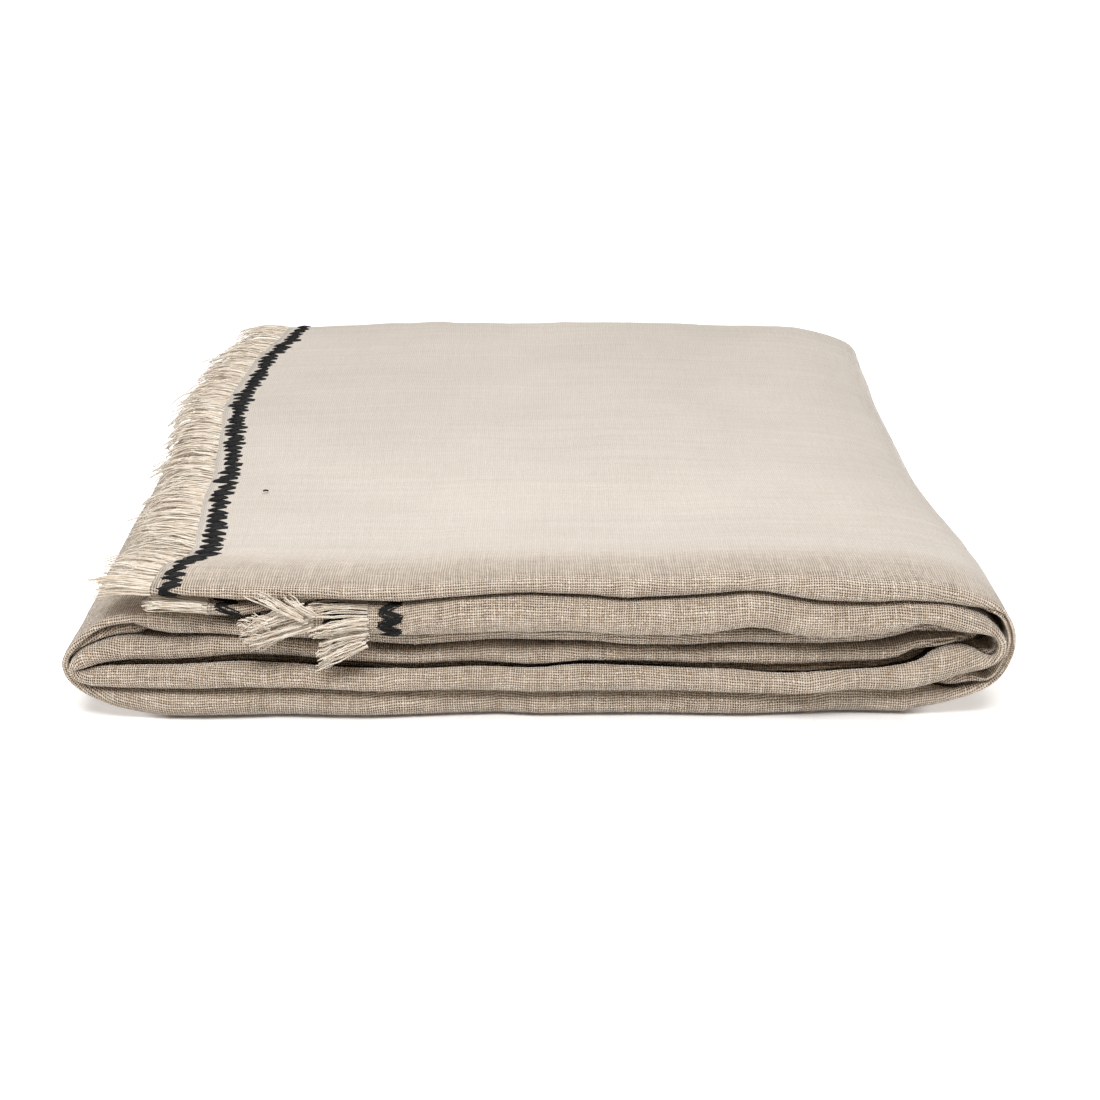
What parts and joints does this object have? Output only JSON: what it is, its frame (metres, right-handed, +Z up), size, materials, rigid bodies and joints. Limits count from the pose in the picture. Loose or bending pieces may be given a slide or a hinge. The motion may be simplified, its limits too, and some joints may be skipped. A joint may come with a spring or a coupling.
{
  "type": "folded tablecloth",
  "caption": "Plain linen tablecloth with fringed ends, folded lengthwise and then across into a flat rectangular stack of rounded folds.",
  "frame": {"origin": "middle of the base of the folded stack, on the surface that it rests on", "axes": "+Z up, -Y towards the front where the stacked folds show, -X towards the fringed end"},
  "size_m": [0.417, 0.3922, 0.0709],
  "materials": {
    "linen": "matte plain weave of uneven natural linen yarn",
    "yarn": "matte loose linen yarn in soft locks"
  },
  "bodies": {
    "root": {"cloth": "linen", "fringe_top": "yarn", "fringe_under": "yarn"}
  },
  "joints": []
}
